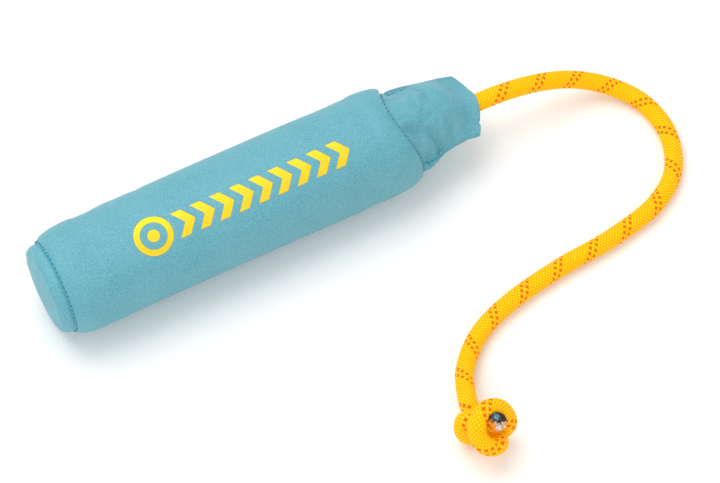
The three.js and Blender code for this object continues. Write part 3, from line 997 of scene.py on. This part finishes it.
def shoulder_line(angle):
    """Where the shoulder's stitches are along x: a ring that bows out at the sides."""
    return CREASE_X + SHOULDER_SEAT + CREASE_BOW * np.sin(angle) ** 2


cover_tree = fabric_tree(cover)
neck_tree = fabric_tree(neck)
end_stitches = ring_stitches("end_seam_stitches", cover_tree, end_seam_line,
                             PANEL_R + 2, END_STITCHES, END_SHARE)
shoulder_stitches = ring_stitches("shoulder_stitches", neck_tree, shoulder_line,
                                  NECK_R, SHOULDER_STITCHES, SHOULDER_SHARE)

# %% [markdown]
# The tuck rows go through both layers of the flange, so they show above and below it. The two
# rows of the lapped seam run the whole length of the tube.

# %% The straight rows
TUCK_PITCH = 2.4
LAP_PITCH = 3.0
LAP_ROW_INSET = 1.5
ROW_SHARE = 0.68
TUCK_ENDS = {
    "left": ((87.2, 24.3, AXIS_Z), (100.7, 23.1, AXIS_Z)),
    "right": ((86.0, -24.9, AXIS_Z), (96.0, -23.6, AXIS_Z)),
}


def line_stitches(name, tree, start, end, pitch, outward, reach):
    """A straight row of stitches from start to end, dropped onto the fabric."""
    start, end = np.array(start, dtype=float), np.array(end, dtype=float)
    length = np.linalg.norm(end - start)
    count = int(length / pitch)
    direction = (end - start) / length
    first = start + np.arange(count)[:, None] * pitch * direction
    last = first + direction * pitch * ROW_SHARE
    away = np.tile(np.array(outward, dtype=float), (count, 1))
    starts = land(tree, first + away * reach, -away, first)
    ends = land(tree, last + away * reach, -away, last)
    return stitch_row(name, starts, ends, away)


def joined(name, pieces):
    """Several meshes as one object."""
    whole = bmesh.new()
    for piece in pieces:
        whole.from_mesh(piece.data)
        bpy.data.objects.remove(piece)
    mesh = bpy.data.meshes.new(name)
    whole.to_mesh(mesh)
    whole.free()
    return add_object(name, mesh)


tuck_pieces = {}
for side, (start, end) in TUCK_ENDS.items():
    rows = [
        line_stitches(f"tuck_{side}_above", neck_tree, start, end, TUCK_PITCH, (0, 0, 1), 20),
        line_stitches(f"tuck_{side}_below", neck_tree, start, end, TUCK_PITCH, (0, 0, -1), 20),
    ]
    tuck_pieces[side] = joined(f"tuck_stitches_{side}", rows)

lap_pieces = {}
lap_tree = fabric_tree(lap)
for side, sign in (("upper", 1), ("lower", -1)):
    row_angle = LAP_ANGLE + sign * LAP_ROW / BODY_R
    outward = np.array([0, -np.sin(row_angle), np.cos(row_angle)])
    start = np.array([LAP_LOW[0] + LAP_ROW_INSET, 0, AXIS_Z]) + outward * (BODY_R + LAP_THICK)
    end = np.array([LAP_HIGH[0] - LAP_ROW_INSET, 0, AXIS_Z]) + outward * (BODY_R + LAP_THICK)
    lap_pieces[side] = line_stitches(f"lap_stitches_{side}", lap_tree, start, end, LAP_PITCH,
                                     outward, 8)

# %% [markdown]
# ## Shader maths as plain expressions
# A procedural material is a formula over the surface. Wiring it by hand gives a web of small
# Math nodes that nobody can read back. Here a small class wraps a socket, and each operator adds
# the node that it stands for, so the formula stays in sight. Colours and vectors have their own
# nodes, because a Math node would turn them grey.

# %% Values and finishes
class Value:
    """A number that varies over the surface. Each operator adds one Math node."""

    def __init__(self, tree, socket):
        self.tree = tree
        self.socket = socket

    def math(self, operation, *inputs):
        node = self.tree.nodes.new("ShaderNodeMath")
        node.operation = operation
        for socket, value in zip(node.inputs, inputs):
            if isinstance(value, Value):
                self.tree.links.new(value.socket, socket)
            else:
                socket.default_value = value
        return Value(self.tree, node.outputs[0])

    def __add__(self, other):
        return self.math("ADD", self, other)

    def __sub__(self, other):
        return self.math("SUBTRACT", self, other)

    def __rsub__(self, other):
        return self.math("SUBTRACT", other, self)

    def __mul__(self, other):
        return self.math("MULTIPLY", self, other)

    def __truediv__(self, other):
        return self.math("DIVIDE", self, other)

    def __mod__(self, other):
        return self.math("FLOORED_MODULO", self, other)

    def __gt__(self, other):
        return self.math("GREATER_THAN", self, other)

    __radd__ = __add__
    __rmul__ = __mul__

    def floor(self):
        return self.math("FLOOR", self)

    def sine(self):
        return self.math("SINE", self)

    def root(self):
        return self.math("SQRT", self)

    def size(self):
        return self.math("ABSOLUTE", self)

    def most(self, other):
        return self.math("MAXIMUM", self, other)

    def least(self, other):
        return self.math("MINIMUM", self, other)

    def below(self, edge, soft):
        """1 where the value is under an edge, 0 above it, over a soft width."""
        return ((edge - self) / soft + 0.5).most(0.0).least(1.0)


class Finish:
    """A material under construction: its tree, its shader, and what its patterns are read from."""

    def __init__(self, name, **constants):
        self.material = bpy.data.materials.new(name)
        self.material.use_nodes = True
        self.tree = self.material.node_tree
        self.shader = self.tree.nodes["Principled BSDF"]
        for socket, value in constants.items():
            self.shader.inputs[socket.replace("_", " ")].default_value = value

    def node(self, kind, settings=None, inputs=None):
        """Any node: its type, its settings, then the values or links of its sockets."""
        node = self.tree.nodes.new(kind)
        for name, value in (settings or {}).items():
            setattr(node, name, value)
        for name, value in (inputs or {}).items():
            if isinstance(value, Value):
                self.tree.links.new(value.socket, node.inputs[name])
            else:
                node.inputs[name].default_value = value
        return node

    def out(self, node, output=0):
        """One output of a node, as a value."""
        return Value(self.tree, node.outputs[output])

    def uv(self):
        """The two numbers of the piece's own UV map."""
        sheet = self.out(self.node("ShaderNodeUVMap", {"uv_map": "weave"}))
        parts = self.node("ShaderNodeSeparateXYZ", inputs={"Vector": sheet})
        return self.out(parts, 0), self.out(parts, 1)

    def place(self):
        """The point on the object, in metres."""
        return self.out(self.node("ShaderNodeTexCoord"), "Object")

    def noise(self, at, scale, detail=2.0, roughness=0.5):
        """Cloudy noise from 0 to 1. scale is features to a metre, or to a UV unit."""
        return self.out(self.node("ShaderNodeTexNoise", inputs={
            "Vector": at, "Scale": scale, "Detail": detail, "Roughness": roughness}), "Fac")

    def mix(self, amount, first, second):
        """A colour between two colours."""
        return self.out(self.node("ShaderNodeMix", {"data_type": "RGBA"},
                                  {0: amount, 6: first, 7: second}), 2)

    def bumped(self, height, distance, strength=1.0):
        """A normal for a height from 0 to 1 that stands for a distance in metres."""
        return self.out(self.node("ShaderNodeBump", inputs={
            "Height": height, "Distance": distance, "Strength": strength}), "Normal")

    def feed(self, **links):
        """Links values to the shader's sockets."""
        for socket, value in links.items():
            self.tree.links.new(value.socket, self.shader.inputs[socket.replace("_", " ")])
        return self.material


def linear(red, green, blue):
    """A colour given as 0 to 255 on a screen, as the linear numbers that a shader wants."""
    screen = np.array([red, green, blue]) / 255
    light = np.where(screen <= 0.04045, screen / 12.92, ((screen + 0.055) / 1.055) ** 2.4)
    return (*light.tolist(), 1.0)


# %% [markdown]
# ## The fabric
# The cover is a plain weave of fine polyester, with about eighteen threads to the centimetre.
# Each thread goes over one and under one, as in the rope's braid, so the same checker of
# overs and unders gives its bump. Two clouds of noise, one wide and one fine, stand for uneven
# dye and fuzz. The sheen is what loose fibres do to light that grazes them.

# %% The weave
THREADS_AROUND = 342
THREAD_PITCH = TURN * BODY_R / THREADS_AROUND
FABRIC = linear(80, 162, 177)
# The deep teal serves both the dye's clouds and the painted shade in the weave's gaps.
FABRIC_DEEP_AND_GAP_SHADE = linear(56, 148, 165)
FABRIC_PALE = linear(126, 190, 201)
FABRIC_LOOK = {"Sheen_Weight": 0.06, "Sheen_Roughness": 0.4, "Specular_IOR_Level": 1.0}


def woven(across, along):
    """The height of a plain weave, from 0 in its gaps to about 1 on its crowns."""
    u = across / THREAD_PITCH
    v = along / THREAD_PITCH
    over_u = (1 - 2 * (u.floor() % 2)) * (v * np.pi).sine()
    over_v = (1 - 2 * (v.floor() % 2)) * (u * np.pi).sine()
    warp = (u * np.pi).sine().size() * (0.6 + 0.4 * over_u)
    weft = (v * np.pi).sine().size() * (0.6 - 0.4 * over_v)
    return warp.most(weft)


def fabric_colour(finish, place, height):
    """The dyed cloth: deeper in wide soft clouds, paler where rubbed, painted shade in its gaps."""
    clouds = finish.noise(place, 55.0, 3.0, 0.6)
    fuzz = finish.noise(place, 1500.0, 2.0, 0.7)
    colour = finish.mix((clouds - 0.3).most(0.0) * 1.5, FABRIC_DEEP_AND_GAP_SHADE, FABRIC)
    colour = finish.mix((fuzz - 0.42).most(0.0) * 2.8, colour, FABRIC_PALE)
    # Painted shade: the weave's gaps are darkened towards the deep teal.
    return finish.mix((1 - height) * 0.4, colour, FABRIC_DEEP_AND_GAP_SHADE)


def crumpled(finish, place, weave):
    """The weave's relief with soft crumples on it, as a normal."""
    crumple = finish.noise(place, 160.0, 3.0, 0.55)
    return finish.bumped(weave + crumple * 1.6, 0.00022, 0.8)


def fabric_material(name):
    """Plain teal fabric, for the pieces without a print."""
    finish = Finish(name, **FABRIC_LOOK)
    across, along = finish.uv()
    place = finish.place()
    height = woven(across, along)
    return finish.feed(Base_Color=fabric_colour(finish, place, height),
                       Roughness=0.62 - 0.1 * height,
                       Normal=crumpled(finish, place, height * 0.6))


fabric = fabric_material("teal_fabric")
print("weave pitch", round(THREAD_PITCH, 3), "mm")

# %% [markdown]
# ## The print
# A printed mark sits on the body's upper side. It is a plain pattern of our own: a ring with a
# dot in it, then a row of slanted chevrons. Each shape is a distance worked out from the fabric's
# two lengths in millimetres, so its edge stays sharp at any size. A thin brown line follows the
# edge, and the ink takes the weave's relief with it. The ink's gloss is tinted by its own colour,
# which a partly metallic surface does. A white gloss would make the yellow pale.

# %% The printed fabric
PRINT_MIDDLE = 11.6
RING_X = -67.8
RING_R = 9.0
RING_HALF = 1.7
DOT_R = 3.4
ROW_START = -49.5
ROW_END = 53.0
CHEVRONS = 9
CHEVRON_HALF = 7.2
CHEVRON_WIDTH = 6.0
CHEVRON_SLANT = 5.6
INK = linear(247, 213, 8)
INK_EDGE = linear(150, 128, 60)


def print_distance(across, along):
    """How far a point is outside the printed shapes, in millimetres, and below zero inside."""
    down = across - PRINT_MIDDLE
    side = along - RING_X
    radius = (down * down + side * side).root()
    ring = (radius - RING_R).size() - RING_HALF
    dot = radius - DOT_R
    pitch = (ROW_END - ROW_START) / CHEVRONS
    point = along + down.size() * (CHEVRON_SLANT / CHEVRON_HALF) - ROW_START
    within = (point % pitch) - CHEVRON_WIDTH / 2
    stripe = (within.size() - CHEVRON_WIDTH / 2) * 0.8
    stripe = stripe.most(down.size() - CHEVRON_HALF)
    stripe = stripe.most(0 - point).most(point - (ROW_END - ROW_START))
    return ring.least(dot).least(stripe)


def printed_material(name):
    """The body's fabric with its yellow print."""
    finish = Finish(name, **FABRIC_LOOK)
    across, along = finish.uv()
    place = finish.place()
    height = woven(across, along)
    ragged = (finish.noise(place, 1600.0, 1.0) - 0.5) * 0.25
    distance = print_distance(across, along) + ragged
    ink = distance.below(-0.1, 0.12)
    edge = distance.below(0.2, 0.15) - ink
    colour = fabric_colour(finish, place, height)
    colour = finish.mix(edge * 0.75, colour, INK_EDGE)
    # The ink thins a little in the weave's gaps, so the painted gap shade shows through it.
    colour = finish.mix(ink * (0.93 + 0.07 * height), colour, INK)
    return finish.feed(Base_Color=colour, Metallic=ink * 0.7,
                       Roughness=0.62 - 0.1 * height,
                       Normal=crumpled(finish, place, height * (0.6 - 0.3 * ink)))


printed = printed_material("printed_fabric")

# %% [markdown]
# ## The rope
# The rope is yellow polypropylene with two orange-red tracer strands, side by side, that wind
# one way round. The material works out the same two strand coordinates as the mesh, so its
# colours land on the strands. Each strand has a painted highlight on its crown and painted
# shade, deep orange, in the gaps, and fine lines along it stand for its fibres. The dye is
# fluorescent and gives back a little more light than it gets. A faint emission paints that
# light in: the rope glows, and its shaded side stays warm.

# %% The braid's material
ROPE_YELLOW = linear(253, 172, 0)
# Painted highlight on the strands' crowns, and painted shade in the gaps between them.
ROPE_CROWN_HIGHLIGHT = linear(255, 208, 10)
ROPE_GAP_SHADE = linear(228, 120, 0)
TRACER = linear(246, 92, 20)
TRACER_STRANDS = (0, 2)
FIBRES = 5


def rope_material(name):
    """Braided yellow rope with tracers, on a UV map of turns round and pitches along."""
    # The faint emission is painted light: the rope glows a little with its own colour, keeping its
    # shaded side warm.
    finish = Finish(name, Specular_IOR_Level=0.1, Emission_Strength=0.08)
    turn, pitch = finish.uv()
    turn = turn + BRAID_PHASE
    a = (turn + pitch) * STRANDS
    b = (turn - pitch) * STRANDS
    in_a = 2 * (a % 1.0) - 1
    in_b = 2 * (b % 1.0) - 1
    wave_a = (1 - 2 * (a.floor() % 2)) * (b * np.pi).sine() * WAVE
    wave_b = (1 - 2 * (b.floor() % 2)) * (a * np.pi).sine() * WAVE
    over_a = (1 - ROUNDNESS * in_a * in_a).root() * RIDGE + wave_a
    over_b = (1 - ROUNDNESS * in_b * in_b).root() * RIDGE - wave_b
    on_top = over_b > over_a
    height = over_a.most(over_b) / (RIDGE + WAVE)
    fibres_a = ((a + 0.15 * b) * (TURN * FIBRES)).sine()
    fibres_b = ((b + 0.15 * a) * (TURN * FIBRES)).sine()
    fibres = fibres_a + (fibres_b - fibres_a) * on_top
    strand = b.floor() % STRANDS
    marked = 0.0
    for tracer in TRACER_STRANDS:
        marked = (strand - tracer).size().below(0.5, 0.01) + marked
    marked = marked * on_top
    # Painted highlight on each strand's crown, and painted shade in the gaps between strands.
    crown = (height - 0.6).most(0.0) * 3.0
    gap = (0.62 - height).most(0.0) * 2.4
    colour = finish.mix(crown.least(1.0), ROPE_YELLOW, ROPE_CROWN_HIGHLIGHT)
    colour = finish.mix(marked, colour, TRACER)
    colour = finish.mix(gap.least(0.85), colour, ROPE_GAP_SHADE)
    # Fine fibre lines, tinted towards the painted gap shade.
    colour = finish.mix((fibres * 0.5 + 0.5) * 0.12, colour, ROPE_GAP_SHADE)
    return finish.feed(Base_Color=colour, Emission_Color=colour,
                       Roughness=0.5 + 0.12 * fibres,
                       Normal=finish.bumped(height * 0.7 + fibres * 0.06, 0.0004, 0.7))


braided = rope_material("braided_rope")


def knotted_material(name):
    """The same rope on the hidden anchor knot, which has no UV map: crossed bands in space."""
    finish = Finish(name, Specular_IOR_Level=0.35)
    place = finish.place()
    bands = [finish.out(finish.node("ShaderNodeTexWave", {"bands_direction": direction},
                                    {"Vector": place, "Scale": 95.0, "Distortion": 1.0}), "Fac")
             for direction in ("X", "DIAGONAL")]
    height = bands[0].most(bands[1])
    # The bands' low parts take the painted gap shade, and their high parts the yellow.
    return finish.feed(Base_Color=finish.mix(height, ROPE_GAP_SHADE, ROPE_YELLOW),
                       Roughness=0.6 - 0.1 * height, Normal=finish.bumped(height, 0.0004))


knotted = knotted_material("anchor_rope")
print("braid of", 2 * STRANDS, "strands")

# %% [markdown]
# ## Thread, foam and the cut end
# The thread is a deep teal twist: slanted bands along its length. The foam is closed-cell, a
# skin of tiny bubbles. The cut end reads its colour attribute, and where that is dark it is
# melted plastic, which is smooth and glossy. The ring of stitches in the crease gets a paler
# copy of the thread, which is painted light that offsets the shade down in the crease.

# %% The smaller finishes
THREAD = linear(8, 146, 168)
THREAD_DEEP = linear(2, 122, 146)
# Paler thread for the crease: painted light that offsets the crease's shade.
CREASE_THREAD_PAINTED_LIGHT = linear(84, 168, 184)
CREASE_THREAD_DEEP_PAINTED_LIGHT = linear(44, 142, 162)
FOAM = linear(232, 228, 218)
# The bubbles' darker colour is painted shade in their hollows.
FOAM_CELL_SHADE = linear(204, 198, 186)


def thread_material(name, crown, deep):
    """Twisted sewing thread: fine slanted bands in space, with a little noise."""
    finish = Finish(name, Sheen_Weight=0.15, Specular_IOR_Level=0.4)
    place = finish.place()
    twist = finish.out(finish.node("ShaderNodeTexWave", {"bands_direction": "DIAGONAL"}, {
        "Vector": place, "Scale": 420.0, "Distortion": 1.5}), "Fac")
    return finish.feed(Base_Color=finish.mix(twist, deep, crown),
                       Roughness=0.62 - 0.15 * twist,
                       Normal=finish.bumped(twist, 0.0001))


def foam_material(name):
    """Closed-cell foam: pale walls between tiny bubbles, with painted shade in the hollow bubbles."""
    finish = Finish(name, Specular_IOR_Level=0.3)
    place = finish.place()
    cell = finish.out(finish.node("ShaderNodeTexVoronoi", {"feature": "DISTANCE_TO_EDGE"}, {
        "Vector": place, "Scale": 700.0}), "Distance")
    wall = 1 - (cell * 4.0).least(1.0)
    return finish.feed(Base_Color=finish.mix(wall, FOAM_CELL_SHADE, FOAM),
                       Roughness=0.7 + 0.2 * wall, Normal=finish.bumped(wall, 0.0002))


def cut_end_material(name):
    """Yarn ends and melted crust: dark parts are glossy, pale parts are dull fibre."""
    finish = Finish(name, Coat_Roughness=0.18, Specular_IOR_Level=0.15)
    yarn = finish.out(finish.node("ShaderNodeAttribute", {"attribute_name": "yarn"}), "Color")
    light = finish.out(finish.node("ShaderNodeSeparateColor", inputs={"Color": yarn}), 0)
    dull = (light * 2.2).least(1.0)
    fibre = finish.noise(finish.place(), 2600.0, 3.0, 0.7)
    colour = finish.mix((fibre - 0.45).most(0.0) * 0.8, yarn, (0.25, 0.12, 0.05, 1.0))
    return finish.feed(Base_Color=colour, Roughness=0.28 + 0.5 * dull,
                       Coat_Weight=0.14 - 0.14 * dull,
                       Normal=finish.bumped(fibre, 0.00015, 0.6))


thread = thread_material("teal_thread", THREAD, THREAD_DEEP)
# A lightened copy of the thread, painted light against the shade in the crease.
crease_thread_painted_light = thread_material("crease_thread_painted_light", CREASE_THREAD_PAINTED_LIGHT, CREASE_THREAD_DEEP_PAINTED_LIGHT)
foam = foam_material("closed_cell_foam")
melted = cut_end_material("cut_and_melted_end")

# %% [markdown]
# ## Putting it together
# Each piece gets its finish, rides on the one body that the bumper has, and stands for its part
# of the engineering model, whose mesh is hidden. Four parts of the model are already the right
# shape, and only get a finish.

# %% Finishes and places in the frame
outfit = [
    (cover, printed, "fabric", ["cover_tube"]),
    (end_cap, fabric, "fabric", ["end_panel"]),
    (neck, fabric, "fabric", ["neck_sleeve"]),
    (lap, fabric, "fabric", ["back_seam_lap"]),
    (end_stitches, thread, "thread", ["end_seam_stitching"]),
    (shoulder_stitches, crease_thread_painted_light, "thread", ["shoulder_stitching"]),
    (tuck_pieces["left"], thread, "thread", ["tuck_stitching_left"]),
    (tuck_pieces["right"], thread, "thread", ["tuck_stitching_right"]),
    (lap_pieces["upper"], thread, "thread", ["back_seam_stitching_upper"]),
    (lap_pieces["lower"], thread, "thread", ["back_seam_stitching_lower"]),
    (rope, braided, "rope", ["throw_rope"]),
    (inner_rope, braided, "rope", ["rope_tail"]),
    (knot, braided, "rope", ["stopper_knot"]),
    (cut_end, melted, "melted_end", ["rope_cut_end"]),
]
for piece, finish, slot, nodes in outfit:
    piece.data.materials.append(finish)
    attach(piece, "root")
    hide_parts(*nodes)

finishes_only = {"foam_core": foam, "anchor_knot": knotted,
                 "mouth_stitching_left": thread, "mouth_stitching_right": thread}
for node, finish in finishes_only.items():
    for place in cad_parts[node].material_slots:
        place.material = finish

corners = sum(len(piece.data.loops) for piece, *_ in outfit)
faces = sum(len(piece.data.polygons) for piece, *_ in outfit)
print(len(outfit), "pieces,", corners - 2 * faces, "triangles before subdivision")
